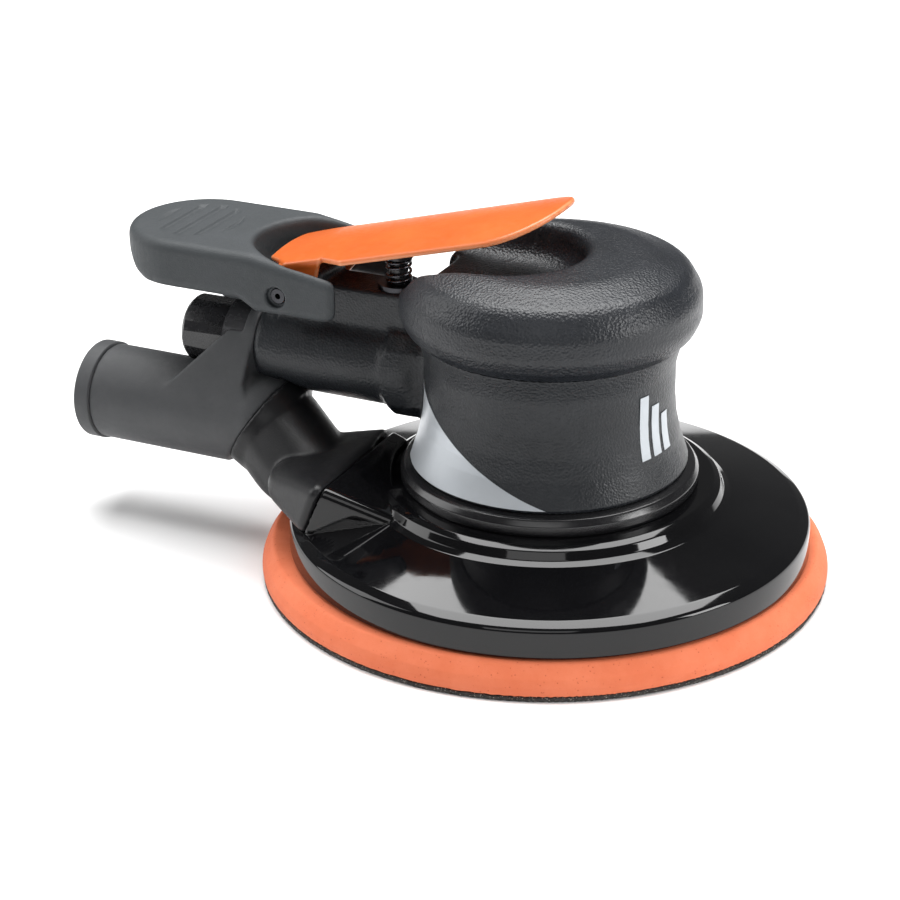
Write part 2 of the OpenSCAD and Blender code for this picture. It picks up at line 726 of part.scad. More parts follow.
module speed_regulator() {
  color("#b0b3b7") translate([reg_x, 0, reg_z]) difference() {
    union() {
      ycyl(1.4, -2, 5.5);
      ycyl(4, 5.5, 14);
      ycyl(5, 13.6, 17.6);
    }
    translate([0, 11, 0]) rotate([-90, 0, 0]) o_ring(4, 0.5);
    translate([-6, 16.6, -0.6]) cube([12, 2, 1.2]);
  }
}
module regulator_o_ring() {
  color("#1c1c1c") translate([reg_x, 11, reg_z]) rotate([-90, 0, 0]) o_ring(3.9, 0.38);
}

hook_face();
pad_foam();
pad_hub();
pad_stud();
pad_spindle();
spindle_nut();
spindle_bearings();
bearing_clip();
dust_shield();
shaft_balancer();
rotor();
rotor_vanes();
rotor_key();
shaft_clip();
front_bearing();
front_end_plate();
motor_retainer();
motor_cylinder();
cylinder_dowel();
rear_end_plate();
rear_bearing();
wave_washer();
motor_o_ring();
housing();
grip_cap();
side_decal();
badge_decal();
lock_ring();
shroud_clip();
vacuum_shroud();
vacuum_elbow();
elbow_seal();
vacuum_manifold();
hose_collar();
venturi_nozzle();
inlet_bushing();
inlet_screen();
inlet_o_ring();
wrist_rest();
lever_pin();
throttle_lever();
valve_seat();
valve_bushing();
valve_plunger();
plunger_clip();
plunger_o_ring();
tip_valve();
valve_spring();
speed_regulator();
regulator_o_ring();
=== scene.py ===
"""Looks of the orbital sander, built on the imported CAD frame.

Shape functions work in millimetres in the CAD's frame. Each takes an array of points and
gives the distance to its surface, negative inside, so that shapes can be joined and cut with
soft edges. sculpt() turns such a function into a mesh in metres.
"""

import json
import math

import bpy
import numpy as np
from mathutils import Matrix, Vector


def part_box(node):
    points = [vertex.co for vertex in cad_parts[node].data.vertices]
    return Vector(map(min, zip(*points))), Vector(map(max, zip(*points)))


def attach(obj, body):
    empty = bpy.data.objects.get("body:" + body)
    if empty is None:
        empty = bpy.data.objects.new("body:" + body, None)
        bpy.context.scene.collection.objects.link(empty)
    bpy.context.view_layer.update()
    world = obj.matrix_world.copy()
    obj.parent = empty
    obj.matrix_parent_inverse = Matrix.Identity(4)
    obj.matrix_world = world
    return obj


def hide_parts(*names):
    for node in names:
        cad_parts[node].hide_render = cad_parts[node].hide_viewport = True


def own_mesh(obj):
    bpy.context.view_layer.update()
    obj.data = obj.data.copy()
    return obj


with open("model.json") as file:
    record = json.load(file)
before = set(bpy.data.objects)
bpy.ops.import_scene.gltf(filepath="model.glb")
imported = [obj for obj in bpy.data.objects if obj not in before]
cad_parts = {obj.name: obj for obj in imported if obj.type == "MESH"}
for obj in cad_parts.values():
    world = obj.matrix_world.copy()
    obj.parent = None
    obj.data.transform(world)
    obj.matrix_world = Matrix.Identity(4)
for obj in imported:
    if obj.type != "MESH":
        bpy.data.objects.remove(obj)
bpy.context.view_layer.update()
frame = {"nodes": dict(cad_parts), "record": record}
nodes = frame["nodes"]
scene = bpy.context.scene
MM = 0.001


def corners(node):
    """Lowest and highest corner of a CAD node, in millimetres."""
    low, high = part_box(node)
    return np.array(low) / MM, np.array(high) / MM


# ---- distance functions --------------------------------------------------------------


def weld(a, b, soft):
    """Both shapes, with a fillet of about that size between them."""
    reach = np.maximum(soft - np.abs(a - b), 0) / soft
    return np.minimum(a, b) - reach * reach * soft / 4


def common(a, b, soft):
    """What lies in both shapes, with its edge rounded."""
    return -weld(-a, -b, soft)


def cut(a, b, soft):
    """The first shape without the second, with its edge rounded."""
    return -weld(-a, b, soft)


def rod(p, start, end, radius, soft=0.5):
    """A round bar with flat ends."""
    start, end = np.array(start, float), np.array(end, float)
    length = np.linalg.norm(end - start)
    way = (end - start) / length
    along = (p - start) @ way
    across = np.linalg.norm(p - start - along[:, None] * way, axis=1) - radius
    return common(across, np.abs(along - length / 2) - length / 2, soft)


def block(p, low, high, soft):
    """A box with rounded edges."""
    low, high = np.array(low, float), np.array(high, float)
    away = np.abs(p - (low + high) / 2) - (high - low) / 2 + soft
    outside = np.linalg.norm(np.maximum(away, 0), axis=1)
    return outside + np.minimum(away.max(axis=1), 0) - soft


def outline(q, points):
    """Distance in the plane to a closed outline."""
    points = np.array(points, float)
    nearest = np.full(len(q), 1e9)
    flips = np.zeros(len(q), int)
    for a, b in zip(points, np.roll(points, -1, axis=0)):
        edge = b - a
        if not edge.any():
            continue
        away = q - a
        share = np.clip(away @ edge / (edge @ edge), 0, 1)
        off = away - share[:, None] * edge
        nearest = np.minimum(nearest, (off * off).sum(axis=1))
        below, above = q[:, 1] >= a[1], q[:, 1] < b[1]
        left = edge[0] * away[:, 1] > edge[1] * away[:, 0]
        flips += (below & above & left) | (~below & ~above & ~left)
    return np.sqrt(nearest) * np.where(flips % 2, -1, 1)


def rounded(points):
    """The outline with each corner (x, y, radius) turned into a curve; a bare (x, y) stays sharp."""
    steps = 6
    result = []
    for before, here, after in zip(points[-1:] + points[:-1], points, points[1:] + points[:1]):
        corner = np.array(here[:2], float)
        if len(here) == 2:
            result.append(corner)
            continue
        to_before, to_after = np.array(before[:2]) - corner, np.array(after[:2]) - corner
        room = min(np.linalg.norm(to_before), np.linalg.norm(to_after)) / 2.05
        to_before, to_after = to_before / np.linalg.norm(to_before), to_after / np.linalg.norm(to_after)
        half = math.acos(np.clip(to_before @ to_after, -1, 1)) / 2
        tangent = min(here[2] / math.tan(half), room)
        for step in range(steps + 1):
            t = step / steps
            a = corner + to_before * tangent * (1 - t)
            b = corner + to_after * tangent * t
            result.append(a * (1 - t) + b * t)
    return result


def lathe(p, points, centre=(0, 0)):
    """A shape turned about an upright axis from its outline of (radius, height)."""
    radius = np.hypot(p[:, 0] - centre[0], p[:, 1] - centre[1])
    return outline(np.stack([radius, p[:, 2]], axis=1), points)


def prism(p, points, plane, low, high, soft):
    """An outline in two axes, carried from low to high along the third."""
    along = 3 - sum(plane)
    flat = outline(p[:, plane], points)
    middle, half = (low + high) / 2, (high - low) / 2
    return common(flat, np.abs(p[:, along] - middle) - half, soft)


def arc(centre, radius, start, end, steps=16):
    """Points on an arc, with its angles in degrees."""
    angles = np.radians(np.linspace(start, end, steps + 1))
    return [(centre[0] + radius * math.cos(a), centre[1] + radius * math.sin(a)) for a in angles]


# ---- meshes --------------------------------------------------------------------------


def new_object(name, points, faces):
    """A smooth mesh object from points in metres."""
    mesh = bpy.data.meshes.new(name)
    mesh.from_pydata([tuple(p) for p in points], [], [tuple(f) for f in faces])
    mesh.update()
    mesh.shade_smooth()
    obj = bpy.data.objects.new(name, mesh)
    scene.collection.objects.link(obj)
    return obj


def slope(shape, p, reach=0.02):
    """The gradient of a distance function."""
    parts = []
    for axis in range(3):
        step = np.zeros(3)
        step[axis] = reach
        parts.append((shape(p + step) - shape(p - step)) / (2 * reach))
    return np.stack(parts, axis=1)


def sample(shape, low, counts, pitch):
    """Distances on a grid. Blocks far from the surface take their centre's value."""
    size = 4
    blocks = -(-counts // size)
    centres = np.stack(np.meshgrid(*[low[i] + pitch * (size * np.arange(blocks[i]) + (size - 1) / 2)
                                     for i in range(3)], indexing="ij"), -1)
    rough = shape(centres.reshape(-1, 3)).reshape(blocks)
    near = np.abs(rough) < pitch * size * 1.6
    values = rough.repeat(size, 0).repeat(size, 1).repeat(size, 2)
    near = near.repeat(size, 0).repeat(size, 1).repeat(size, 2)
    cells = np.argwhere(near)
    for start in range(0, len(cells), 400000):
        part = cells[start:start + 400000]
        values[tuple(part.T)] = shape(low + pitch * part)
    return values


def sculpt(name, shape, low, high, pitch, turn=None):
    """A mesh object of the surface of a distance function, with exact normals."""
    low = np.array(low, float)
    counts = np.ceil((np.array(high, float) - low) / pitch).astype(int) + 1
    values = sample(shape, low, counts, pitch)
    inside = values < 0
    cells = np.array(values.shape) - 1
    offsets = np.array([(i, j, k) for i in (0, 1) for j in (0, 1) for k in (0, 1)])
    around = [values[i:i + cells[0], j:j + cells[1], k:k + cells[2]] for i, j, k in offsets]
    filled = sum((v < 0).astype(np.int8) for v in around)
    crossed = (filled > 0) & (filled < 8)
    index = np.full(cells, -1)
    index[crossed] = np.arange(crossed.sum())
    around = [v[crossed] for v in around]
    total, hits = np.zeros((crossed.sum(), 3)), np.zeros(crossed.sum())
    for a in range(8):
        for b in range(a + 1, 8):
            if np.abs(offsets[a] - offsets[b]).sum() != 1:
                continue
            change = (around[a] < 0) != (around[b] < 0)
            share = around[a][change] / (around[a][change] - around[b][change])
            total[change] += offsets[a] + share[:, None] * (offsets[b] - offsets[a])
            hits[change] += 1
    points = low + pitch * (np.argwhere(crossed) + total / hits[:, None])
    faces = []
    for axis in range(3):
        u, v = np.eye(3, dtype=int)[(axis + 1) % 3], np.eye(3, dtype=int)[(axis + 2) % 3]
        first = inside.take(range(cells[axis]), axis)
        second = inside.take(range(1, cells[axis] + 1), axis)
        edges = np.argwhere(first != second)
        keep = (edges @ u > 0) & (edges @ v > 0) & (edges @ u < cells @ u) & (edges @ v < cells @ v)
        edges = edges[keep]
        quads = np.stack([index[tuple((edges - u - v).T)], index[tuple((edges - v).T)],
                          index[tuple(edges.T)], index[tuple((edges - u).T)]], axis=1)
        outward = first[tuple(edges.T)]
        faces.append(np.where(outward[:, None], quads, quads[:, ::-1]))
    faces = np.concatenate(faces)
    for _ in range(2):
        mean, count = np.zeros_like(points), np.zeros(len(points))
        for side in (1, 3):
            other = np.roll(faces, side, axis=1)
            np.add.at(mean, faces.ravel(), points[other.ravel()])
            np.add.at(count, faces.ravel(), 1)
        points = (points + mean / count[:, None]) / 2
        for _ in range(2):
            gradient = slope(shape, points)
            length = np.maximum((gradient ** 2).sum(axis=1), 0.2)
            move = gradient * (shape(points) / length)[:, None]
            points = points - np.clip(move, -pitch, pitch)
    normals = slope(shape, points)
    normals /= np.maximum(np.linalg.norm(normals, axis=1), 1e-9)[:, None]
    if turn is not None:
        spin = np.array(turn.to_3x3())
        points = points @ spin.T + np.array(turn.translation)
        normals = normals @ spin.T
    obj = new_object(name, points * MM, faces.tolist())
    obj.data.normals_split_custom_set_from_vertices([tuple(n) for n in normals])
    return obj


def revolve(name, points, steps=192, matrix=Matrix.Identity(4)):
    """A closed ring turned about Z from its outline of (radius, height) in millimetres."""
    outline_points = [tuple(p) for p in points]
    count = len(outline_points)
    verts, faces = [], []
    for step in range(steps):
        angle = 2 * math.pi * step / steps
        for r, z in outline_points:
            verts.append(matrix @ Vector((r * math.cos(angle), r * math.sin(angle), z)) * MM)
        following = (step + 1) % steps
        for i in range(count):
            j = (i + 1) % count
            faces.append((step * count + i, following * count + i, following * count + j, step * count + j))
    return new_object(name, verts, faces)


def softened(name, node, voxel, rounds):
    """A copy of a CAD node's shape with its edges melted to small fillets."""
    obj = bpy.data.objects.new(name, nodes[node].data.copy())
    scene.collection.objects.link(obj)
    obj.data.materials.clear()
    remesh = obj.modifiers.new("remesh", "REMESH")
    remesh.mode = "VOXEL"
    remesh.voxel_size = voxel * MM
    smooth = obj.modifiers.new("smooth", "SMOOTH")
    smooth.factor = 0.5
    smooth.iterations = rounds
    depsgraph = bpy.context.evaluated_depsgraph_get()
    baked = bpy.data.meshes.new_from_object(obj.evaluated_get(depsgraph))
    obj.modifiers.clear()
    obj.data = baked
    obj.data.shade_smooth()
    return obj


# ---- materials -----------------------------------------------------------------------


class Tree:
    """A short way to build a node material."""

    def __init__(self, name):
        self.material = bpy.data.materials.new(name)
        self.material.use_nodes = True
        self.tree = self.material.node_tree
        self.shader = self.tree.nodes["Principled BSDF"]
        self.place = self.add("ShaderNodeTexCoord").outputs["Object"]

    def add(self, kind, inputs=None, **settings):
        node = self.tree.nodes.new(kind)
        for key, value in settings.items():
            setattr(node, key, value)
        for key, value in (inputs or {}).items():
            if isinstance(value, bpy.types.NodeSocket):
                self.tree.links.new(value, node.inputs[key])
            else:
                node.inputs[key].default_value = value
        return node

    def set(self, key, value):
        if isinstance(value, bpy.types.NodeSocket):
            self.tree.links.new(value, self.shader.inputs[key])
        else:
            self.shader.inputs[key].default_value = value

    # sizes and depths are in millimetres

    def noise(self, size, detail=2.0, rough=0.5, stretch=(1, 1, 1)):
        place = self.place
        if tuple(stretch) != (1, 1, 1):
            place = self.add("ShaderNodeMapping", {"Vector": place, "Scale": stretch}).outputs[0]
        made = self.add("ShaderNodeTexNoise", {"Vector": place, "Scale": 1 / (size * MM), "Detail": detail,
                                               "Roughness": rough})
        return made.outputs["Fac"]

    def cells(self, size, smooth=0.4, feature="SMOOTH_F1"):
        inputs = {"Vector": self.place, "Scale": 1 / (size * MM), "Randomness": 1.0}
        if feature == "SMOOTH_F1":
            inputs["Smoothness"] = smooth
        return self.add("ShaderNodeTexVoronoi", inputs, feature=feature).outputs["Distance"]

    def ramp(self, value, low, high, to_low=0.0, to_high=1.0):
        made = self.add("ShaderNodeMapRange", {"Value": value, "From Min": low, "From Max": high,
                                               "To Min": to_low, "To Max": to_high})
        return made.outputs["Result"]

    def sum(self, a, b, share=1.0):
        scaled = self.add("ShaderNodeMath", {0: b, 1: share}, operation="MULTIPLY").outputs[0]
        return self.add("ShaderNodeMath", {0: a, 1: scaled}, operation="ADD").outputs[0]

    def blend(self, factor, first, second):
        made = self.add("ShaderNodeMix", data_type="RGBA")
        for socket, value in ((made.inputs[0], factor), (made.inputs[6], first), (made.inputs[7], second)):
            if isinstance(value, bpy.types.NodeSocket):
                self.tree.links.new(value, socket)
            elif isinstance(value, (int, float)):
                socket.default_value = value
            else:
                socket.default_value = (*value, 1)
        return made.outputs[2]

    def bump(self, height, depth):
        made = self.add("ShaderNodeBump", {"Height": height, "Distance": depth * MM, "Strength": 1.0})
        self.set("Normal", made.outputs[0])


def surface(name, colour, second, rough, spread=0.06, patch=14.0):
    """A material whose colour and roughness drift between two values over patches of that size."""
    tree = Tree(name)
    drift = tree.ramp(tree.noise(patch, 4.0, 0.6), 0.35, 0.65)
    tree.colour = tree.blend(drift, colour, second)
    tree.set("Base Color", tree.colour)
    fine = tree.ramp(tree.noise(patch / 9, 5.0, 0.65), 0.3, 0.7, rough - spread, rough + spread)
    tree.set("Roughness", fine)
    return tree


def edge_wear_and_highlight(tree, tint, strength=0.35, low=0.53, high=0.6):
    """Lighter colour along the raised edges, in the tint given: wear where hands and cloths rub, and, with
    the lever's pale tint, a painted highlight where the sheet's edge catches the light.
    """
    raised = tree.add("ShaderNodeNewGeometry").outputs["Pointiness"]
    edge_lightening = tree.ramp(raised, low, high, 0.0, strength)
    tree.colour = tree.blend(edge_lightening, tree.colour, tint)
    tree.set("Base Color", tree.colour)


def leather_grain(tree, size, depth):
    """Pebbled mould texture."""
    pebbles = tree.cells(size, 0.55)
    tree.bump(tree.sum(pebbles, tree.noise(size * 0.6, 3.0), 0.5), depth)


def spark_grain(tree, size, depth):
    """Fine matt mould texture from spark erosion."""
    tree.bump(tree.sum(tree.noise(size, 3.0, 0.7), tree.cells(size * 1.7, 0.3), 0.4), depth)


def metal(name, colour, rough, stretch, line=0.25, depth=0.01):
    """Machined metal, with fine tool lines stretched along the given axes."""
    tree = surface(name, colour, tuple(c * 0.82 for c in colour), rough, 0.07, 8.0)
    tree.set("Metallic", 1.0)
    tree.bump(tree.noise(line, 3.0, 0.6, stretch), depth)
    return tree


LOOKS = {}


def look(slot, tree):
    LOOKS[slot] = tree.material


composite = surface("housing_composite", (0.008, 0.0095, 0.012), (0.013, 0.015, 0.018), 0.40, 0.05)
composite.set("Specular IOR Level", 0.4)
edge_wear_and_highlight(composite, (0.06, 0.063, 0.07), 0.3)
leather_grain(composite, 0.62, 0.12)
look("housing_composite", composite)

cap = surface("cap_composite", (0.009, 0.0105, 0.0135), (0.014, 0.016, 0.020), 0.37, 0.05)
cap.set("Specular IOR Level", 0.42)
leather_grain(cap, 0.66, 0.14)
look("cap_composite", cap)

rest = surface("rest_rubber", (0.025, 0.030, 0.033), (0.032, 0.037, 0.041), 0.60, 0.06)
edge_wear_and_highlight(rest, (0.09, 0.10, 0.11), 0.3)
spark_grain(rest, 0.32, 0.08)
look("rest_rubber", rest)

elbow = surface("elbow_plastic", (0.006, 0.006, 0.007), (0.009, 0.009, 0.010), 0.38, 0.05)
elbow.set("Specular IOR Level", 0.3)
spark_grain(elbow, 0.35, 0.03)
look("elbow_plastic", elbow)

manifold = surface("manifold_plastic", (0.040, 0.042, 0.045), (0.050, 0.052, 0.055), 0.58, 0.05)
edge_wear_and_highlight(manifold, (0.11, 0.11, 0.115), 0.3)
spark_grain(manifold, 0.30, 0.04)
look("manifold_plastic", manifold)

gloss = surface("shroud_plastic", (0.0025, 0.0025, 0.003), (0.004, 0.004, 0.0045), 0.055, 0.02, 30.0)
gloss.set("Specular IOR Level", 0.38)
gloss.bump(gloss.noise(9.0, 2.0), 0.01)
look("shroud_plastic", gloss)

ring = surface("lock_ring_plastic", (0.008, 0.008, 0.009), (0.012, 0.012, 0.013), 0.22, 0.05)
spark_grain(ring, 0.4, 0.01)
look("lock_ring_plastic", ring)

paint = surface("lever_orange", (0.54, 0.10, 0.012), (0.60, 0.125, 0.018), 0.36, 0.06, 20.0)
# pale orange on the raised edges: a painted highlight, the sheet's edge catching the light
edge_wear_and_highlight(paint, (0.98, 0.55, 0.30), 0.55, 0.52, 0.57)
spark_grain(paint, 0.9, 0.02)
look("lever_orange", paint)

foam = surface("orange_foam", (0.66, 0.15, 0.06), (0.71, 0.18, 0.08), 0.80, 0.06, 10.0)
pores = foam.ramp(foam.cells(0.9, feature="F1"), 0.10, 0.24, 1.0, 0.0)
chosen = foam.ramp(foam.noise(2.2, 2.0), 0.52, 0.60)
pores = foam.add("ShaderNodeMath", {0: pores, 1: chosen}, operation="MULTIPLY").outputs[0]
# the pores are darkened in colour: painted shade inside the pits, on top of their bump below
foam.colour = foam.blend(pores, foam.colour, (0.45, 0.07, 0.02))
foam.set("Base Color", foam.colour)
foam.bump(foam.sum(foam.noise(0.35, 3.0), pores, -1.5), 0.06)
look("orange_foam", foam)

hooks = surface("hook_fabric", (0.018, 0.017, 0.016), (0.05, 0.047, 0.043), 0.85, 0.05, 1.2)
flecks = hooks.ramp(hooks.cells(0.55, feature="F1"), 0.12, 0.3, 1.0, 0.0)
hooks.colour = hooks.blend(flecks, hooks.colour, (0.42, 0.38, 0.33))
hooks.set("Base Color", hooks.colour)
hooks.bump(hooks.sum(hooks.noise(0.3, 3.0), flecks, 1.0), 0.15)
look("hook_fabric", hooks)

backing = surface("pad_backing", (0.018, 0.018, 0.019), (0.028, 0.028, 0.029), 0.45, 0.06)
spark_grain(backing, 0.5, 0.03)
look("pad_backing", backing)

silver = surface("silver_decal", (0.47, 0.50, 0.53), (0.53, 0.56, 0.59), 0.34, 0.05, 18.0)
silver.set("Metallic", 0.35)
silver.bump(silver.noise(1.6, 3.0), 0.01)
look("silver_decal", silver)

inlet = surface("inlet_black", (0.010, 0.010, 0.011), (0.016, 0.016, 0.018), 0.25, 0.06)
edge_wear_and_highlight(inlet, (0.16, 0.16, 0.17), 0.4)
spark_grain(inlet, 0.8, 0.02)
look("inlet_black", inlet)

plunger = surface("plunger_black", (0.012, 0.012, 0.013), (0.018, 0.018, 0.02), 0.3, 0.06)
spark_grain(plunger, 0.5, 0.01)
look("plunger_black", plunger)

rubber = surface("o_ring_rubber", (0.012, 0.012, 0.012), (0.02, 0.02, 0.02), 0.5, 0.08, 4.0)
spark_grain(rubber, 0.25, 0.015)
look("o_ring_rubber", rubber)

vane = surface("vane_phenolic", (0.17, 0.085, 0.035), (0.24, 0.13, 0.06), 0.6, 0.06, 2.0)
threads = vane.add("ShaderNodeTexWave", {"Vector": vane.place, "Scale": 700.0, "Distortion": 1.0})
vane.bump(threads.outputs["Fac"], 0.03)
look("vane_phenolic", vane)

look("steel", metal("steel", (0.50, 0.51, 0.53), 0.28, (1, 1, 14)))
look("bearing_steel", metal("bearing_steel", (0.66, 0.67, 0.69), 0.12, (1, 1, 10), depth=0.003))
look("black_steel", metal("black_steel", (0.055, 0.055, 0.06), 0.32, (6, 1, 6)))
look("motor_aluminium", metal("motor_aluminium", (0.62, 0.64, 0.66), 0.33, (1, 1, 12)))
look("cylinder_iron", metal("cylinder_iron", (0.30, 0.31, 0.32), 0.45, (2, 2, 5), 0.4, 0.03))
look("brass", metal("brass", (0.72, 0.50, 0.20), 0.26, (1, 1, 12)))
look("screen_steel", metal("screen_steel", (0.55, 0.56, 0.58), 0.3, (8, 1, 1)))
look("spring_steel", metal("spring_steel", (0.10, 0.10, 0.11), 0.28, (1, 1, 6)))
look("regulator_steel", metal("regulator_steel", (0.45, 0.46, 0.48), 0.3, (1, 9, 1)))

slot_of = {part["node"]: part["material_slot"] for part in frame["record"]["subparts"]}
for node, obj in nodes.items():
    obj.data.materials.clear()
    obj.data.materials.append(LOOKS[slot_of[node]])


def place(obj, node, body="motor_housing"):
    """The piece stands for a CAD node: it rides on that node's body and takes its finish."""
    obj.data.materials.clear()
    obj.data.materials.append(LOOKS[slot_of[node]])
    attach(obj, body)
    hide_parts(node)
    return obj


# ---- palm cap ------------------------------------------------------------------------

CAP_TOP = corners("grip_cap")[1][2]
CAP_R = corners("grip_cap")[1][0]
CAP_FOOT = corners("grip_cap")[0][2]
cap_outline = [(0, 77), (23, 77), (29.1, 74), (31.6, 70), (31.6, CAP_FOOT), *rounded([
    (0, CAP_FOOT), (34.9, CAP_FOOT, 0.4), (37.6, 70.6, 4), (CAP_R, 74.2, 6), (CAP_R - 0.2, 80.5, 7),
    (35.6, 86.4, 7), (25.5, CAP_TOP - 0.1, 16), (0, CAP_TOP)])[1:]]
CHANNEL_R = 20.0
CHANNEL_X = -12.0
CHANNEL_FLOOR = 80.0


def cap_shape(p):
    """The round cap, with the lever's channel and a window for the handle."""
    body = lathe(p, cap_outline)
    end = np.hypot(p[:, 0] - CHANNEL_X, p[:, 1]) - CHANNEL_R
    way = np.maximum(np.abs(p[:, 1]) - CHANNEL_R, p[:, 0] - CHANNEL_X)
    channel = common(weld(end, way, 0.5), CHANNEL_FLOOR - p[:, 2], 8)
    body = cut(body, channel, 4.0)
    window = block(p, (-64, -14, 55), (-31.8, 14, 95), 3)
    return cut(body, window, 2.0)


low, high = corners("grip_cap")
cap_piece = sculpt("palm_cap", cap_shape, low - 1, high + 1, 0.55)
place(cap_piece, "grip_cap")

# ---- housing -------------------------------------------------------------------------

HANDLE_Z = 52.0
HANDLE_R = 12.0
WAIST_R = 32.7
TUBE_AT = (-9.0, 32.1)
BEND_X = -81.0
NECK_R = 31.0
MOTOR_R = 27.03
VALVE_X = -43.6
SLEEVE_X = -82.95
BLOCK_TOP = 73.5
POST_TOP = 76.6
PIN_AT = (-70.0, 73.0)
REGULATOR_AT = (-36.0, 56.5)
OUTLET_TILT = math.radians(33)
housing_outline = [(0, 24), (NECK_R, 24), (NECK_R, 32.6), (36.1, 32.6), *rounded([
    (36.1, 32.6), (36.6, 33.6, 0.8), (34.5, 40, 12), (33.2, 46, 12), (WAIST_R, 52, 10),
    (WAIST_R, 61, 12), (33.5, 64.2, 8), (34.6, 68), (31.5, 68)])[1:],
    (31.5, 70), (29, 74), (23, 76.9), (0, 76.9)]
root_outline = [(-7, 40.1), (7, 40.1), (10.5, 44), (10.5, 59), (7.5, 62.5), (-7.5, 62.5), (-10.5, 59),
                (-10.5, 44)]


def cross_rod(p, x, z, y0, y1, radius, soft):
    """A round bar along Y."""
    return rod(p, (x, y0, z), (x, y1, z), radius, soft)


def housing_shape(p):
    """The body with its handle sleeve, valve block, lever post and regulator boss, hollowed out."""
    body = lathe(p, housing_outline)
    sleeve = rod(p, (SLEEVE_X, 0, HANDLE_Z), (-37, 0, HANDLE_Z), HANDLE_R, 2.5)
    root = prism(p, root_outline, [1, 2], -42, -28, 1)
    body = weld(body, weld(sleeve, root, 4.5), 1.6)
    valve_block = block(p, (-77, -6.5, 56), (-36, 6.5, BLOCK_TOP), 1.2)
    post = block(p, (-77, -7, 56), (-63, 7, POST_TOP), 1.2)
    body = weld(body, weld(valve_block, post, 1.0), 1.5)
    body = weld(body, cross_rod(p, *REGULATOR_AT, 4, 13.2, 5.9, 0.8), 1.5)
    # hollow for the motor, the valve and the air inlet
    body = cut(body, rod(p, (0, 0, 20), (0, 0, 66), MOTOR_R, 0.3), 0.3)
    body = cut(body, rod(p, (0, 0, 60), (0, 0, 73.6), 13.03, 0.3), 0.3)
    body = cut(body, rod(p, (-90, 0, HANDLE_Z), (-71, 0, HANDLE_Z), 7, 0.3), 0.4)
    body = cut(body, rod(p, (-90, 0, HANDLE_Z), (VALVE_X, 0, HANDLE_Z), 4.5, 0.3), 0.3)
    body = cut(body, rod(p, (VALVE_X, 0, 47), (VALVE_X, 0, 80), 5.2, 0.3), 0.3)
    body = cut(body, cross_rod(p, *REGULATOR_AT, 5.4, 20, 5.1, 0.3), 0.3)
    # clearance for the lever pin and the dust elbow
    body = cut(body, cross_rod(p, *PIN_AT, -20, 20, 2.02, 0.1), 0.2)
    mouth = Vector((math.cos(OUTLET_TILT), 0, -math.sin(OUTLET_TILT)))
    start = Vector((BEND_X - 0.6, TUBE_AT[0], TUBE_AT[1] + 0.4))
    body = cut(body, rod(p, start - 2 * mouth, start + 6.2 * mouth, 14.6, 0.4), 0.6)
    tube = rod(p, (-90, *TUBE_AT), (BEND_X, *TUBE_AT), 13.6, 0.4)
    return cut(body, tube, 0.6)


low, high = corners("housing")
housing_piece = sculpt("body_shell", housing_shape, low - 1, high + 1, 0.7)
place(housing_piece, "housing")

# ---- dust shroud ---------------------------------------------------------------------

RIM_R = 69.5
WALL = 2.2
MOUTH = (-48.0, 25.0)
MOUTH_TILT = math.radians(21)
shroud_outline = [(NECK_R + 0.05, 25.2), (NECK_R + 0.05, 27.5), *rounded([
    (31, 27.5), (43.6, 27.5, 0.7), (45.3, 26.6, 1.0), (46.3, 24.6, 0.8), (48.0, 23.6, 1.5), (66.3, 18.6, 3.5),
    (RIM_R - 0.3, 17.2, 1.8), (RIM_R, 9.6, 0.6), (RIM_R - WALL, 9.6, 0.6), (RIM_R - WALL, 15.8, 0.6),
    (65.9, 16.3, 1), (46.7, 21.5, 2), (42.4, 25.2, 1), (31, 25.2)])[1:-1]]


def duct_shape(p, start, end, height, inset):
    """The slanted duct: flat, wide in Y, with its near wall turned in towards the body."""
    along = (p[:, 0] - MOUTH[0]) * math.cos(MOUTH_TILT) - (p[:, 2] - MOUTH[1]) * math.sin(MOUTH_TILT)
    up = (p[:, 0] - MOUTH[0]) * math.sin(MOUTH_TILT) + (p[:, 2] - MOUTH[1]) * math.cos(MOUTH_TILT)
    plan = [(-60, -0.5 - inset), (-18, -0.5 - inset), (-18, -35.5 + inset), (-27.4, -38.3 + inset),
            (-50, -44.5 + inset), (-60, -45.5 + inset)]
    shape = common(outline(p[:, :2], plan), np.abs(up) - height / 2, 3.0)
    return common(shape, np.abs(along - (start + end) / 2) - (end - start) / 2, 0.6)


def duct_skin(p):
    """The outside of the duct, from the body's neck to its mouth."""
    shape = duct_shape(p, 0, 27, 15, 0)
    shape = cut(shape, np.hypot(p[:, 0], p[:, 1]) - 41.5, 0.6)
    return cut(shape, p[:, 2] - 14.5, 0.5)


def duct_hollow(p):
    """The inside of the duct, open at its mouth."""
    shape = duct_shape(p, -3, 19, 11.4, 1.8)
    return cut(shape, np.hypot(p[:, 0], p[:, 1]) - 42.8, 0.5)


def combine(obj, other, operation):
    """Joins or cuts two closed meshes, and removes the second."""
    modifier = obj.modifiers.new("combine", "BOOLEAN")
    modifier.operation = operation
    modifier.object = other
    modifier.solver = "EXACT"
    depsgraph = bpy.context.evaluated_depsgraph_get()
    baked = bpy.data.meshes.new_from_object(obj.evaluated_get(depsgraph))
    obj.modifiers.clear()
    obj.data = baked
    bpy.data.objects.remove(other)


shroud_piece = revolve("dust_shroud", shroud_outline, 256)
DUCT_LOW, DUCT_HIGH = (-56, -49, 8), (-16, 2, 36)
combine(shroud_piece, sculpt("duct_skin", duct_skin, DUCT_LOW, DUCT_HIGH, 0.6), "UNION")
combine(shroud_piece, sculpt("duct_hollow", duct_hollow, DUCT_LOW, DUCT_HIGH, 0.6), "DIFFERENCE")
shroud_piece.data.shade_smooth()
shroud_piece.data.set_sharp_from_angle(angle=math.radians(40))
place(shroud_piece, "vacuum_shroud")

